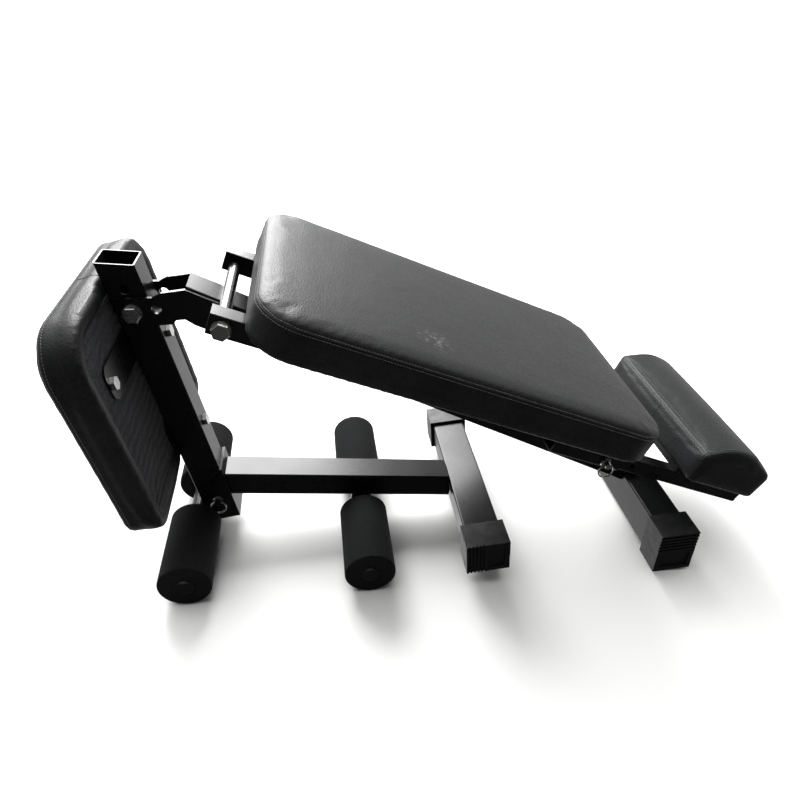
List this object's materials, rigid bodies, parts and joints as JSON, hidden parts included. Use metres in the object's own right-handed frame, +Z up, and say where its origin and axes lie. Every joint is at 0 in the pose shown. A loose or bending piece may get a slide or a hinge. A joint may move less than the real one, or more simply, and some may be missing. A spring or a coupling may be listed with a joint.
{
  "type": "adjustable weight bench",
  "caption": "Adjustable weight bench folded upright on its foam leg rollers, with a long padded backrest, a sliding headrest and a tapered seat.",
  "frame": {"origin": "centre of the footprint's box on the floor, with the bench folded", "axes": "+X from the seat towards the headrest, +Y across the bench, +Z up"},
  "size_m": [1.0764, 0.394, 0.5153],
  "materials": {
    "powder_coated_steel": "satin",
    "zinc_steel": "satin",
    "polished_steel": "polished",
    "foam_rubber": "matte",
    "vinyl_upholstery": "satin",
    "cloth_covered_board": "matte",
    "moulded_plastic": "satin"
  },
  "bodies": {
    "main_frame": {"main_beam": "powder_coated_steel", "clevis_plate_near": "powder_coated_steel", "clevis_plate_far": "powder_coated_steel", "fold_bolt": "zinc_steel", "fold_nut": "zinc_steel", "fold_washers": "zinc_steel", "hinge_sleeve": "powder_coated_steel", "rear_foot_tube": "powder_coated_steel", "rear_foot_cap_near": "moulded_plastic", "rear_foot_cap_far": "moulded_plastic", "ladder_strip_near": "powder_coated_steel", "ladder_strip_far": "powder_coated_steel"},
    "backrest": {"backrest_rail_near": "powder_coated_steel", "backrest_rail_far": "powder_coated_steel", "rail_plugs": "moulded_plastic", "backrest_cross_front": "powder_coated_steel", "backrest_cross_rear": "powder_coated_steel", "hinge_bolt": "zinc_steel", "hinge_nut": "zinc_steel", "hinge_washers": "zinc_steel", "prop_pivot_rod": "powder_coated_steel", "backrest_board": "cloth_covered_board", "backrest_pad": "vinyl_upholstery", "headrest_sleeve_near": "powder_coated_steel", "headrest_sleeve_far": "powder_coated_steel", "headrest_pin_barrel": "polished_steel"},
    "prop": {"prop_arm_near": "powder_coated_steel", "prop_arm_far": "powder_coated_steel", "prop_rod": "powder_coated_steel"},
    "headrest": {"headrest_bar_near": "powder_coated_steel", "headrest_bar_far": "powder_coated_steel", "headrest_risers": "powder_coated_steel", "headrest_board": "cloth_covered_board", "headrest_pad": "vinyl_upholstery"},
    "headrest_lock": {"headrest_pin": "polished_steel", "headrest_pin_ring": "polished_steel"},
    "front_frame": {"seat_tube": "powder_coated_steel", "saddle_web": "powder_coated_steel", "saddle_flange_near": "powder_coated_steel", "saddle_flange_far": "powder_coated_steel", "leg_tube": "powder_coated_steel", "leg_pin_barrel": "polished_steel", "leg_pin": "polished_steel", "leg_pin_ring": "polished_steel", "front_foot_tube": "powder_coated_steel", "front_foot_cap_near": "moulded_plastic", "front_foot_cap_far": "moulded_plastic", "seat_roller_axle": "powder_coated_steel", "leg_roller_axle": "powder_coated_steel", "axle_plugs": "moulded_plastic", "axle_collars": "powder_coated_steel", "leg_axle_block": "powder_coated_steel", "seat_brackets": "powder_coated_steel", "seat_bolts": "zinc_steel", "seat_board": "cloth_covered_board", "seat_pad": "vinyl_upholstery"},
    "seat_roller_near_body": {"seat_roller_near": "foam_rubber"},
    "seat_roller_far_body": {"seat_roller_far": "foam_rubber"},
    "leg_roller_near_body": {"leg_roller_near": "foam_rubber"},
    "leg_roller_far_body": {"leg_roller_far": "foam_rubber"}
  },
  "joints": [
    {"name": "seat_fold", "type": "hinge", "parent": "main_frame", "child": "front_frame", "pos_m": [-0.4553, 0, 0.429], "axis": [0, 1, 0], "range_deg": [0, 92]},
    {"name": "backrest_raise", "type": "hinge", "parent": "main_frame", "child": "backrest", "pos_m": [-0.32725, 0, 0.44815], "axis": [0, -1, 0], "range_deg": [0, 75]},
    {"name": "prop_swing", "type": "hinge", "parent": "backrest", "child": "prop", "pos_m": [-0.06305, 0, 0.35525], "axis": [0, -1, 0], "range_deg": [-150, 0]},
    {"name": "headrest_slide", "type": "slide", "parent": "backrest", "child": "headrest", "axis": [0.9361, 0, -0.3518], "range_m": [-0.085, 0.06]},
    {"name": "headrest_pin_pull", "type": "slide", "parent": "backrest", "child": "headrest_lock", "axis": [0, -1, 0], "range_m": [0, 0.008], "stiffness_N_per_m": 400},
    {"name": "seat_roller_near_spin", "type": "hinge", "parent": "front_frame", "child": "seat_roller_near_body", "pos_m": [-0.41839, -0.1155, 0.041], "axis": [0, 1, 0], "continuous": true},
    {"name": "seat_roller_far_spin", "type": "hinge", "parent": "front_frame", "child": "seat_roller_far_body", "pos_m": [-0.41839, 0.1155, 0.041], "axis": [0, 1, 0], "continuous": true},
    {"name": "leg_roller_near_spin", "type": "hinge", "parent": "front_frame", "child": "leg_roller_near_body", "pos_m": [-0.13199, -0.1155, 0.041], "axis": [0, 1, 0], "continuous": true},
    {"name": "leg_roller_far_spin", "type": "hinge", "parent": "front_frame", "child": "leg_roller_far_body", "pos_m": [-0.13199, 0.1155, 0.041], "axis": [0, 1, 0], "continuous": true}
  ],
  "couplings": [
    {"joint": "prop_swing", "follows": "backrest_raise", "ratio": -2}
  ]
}
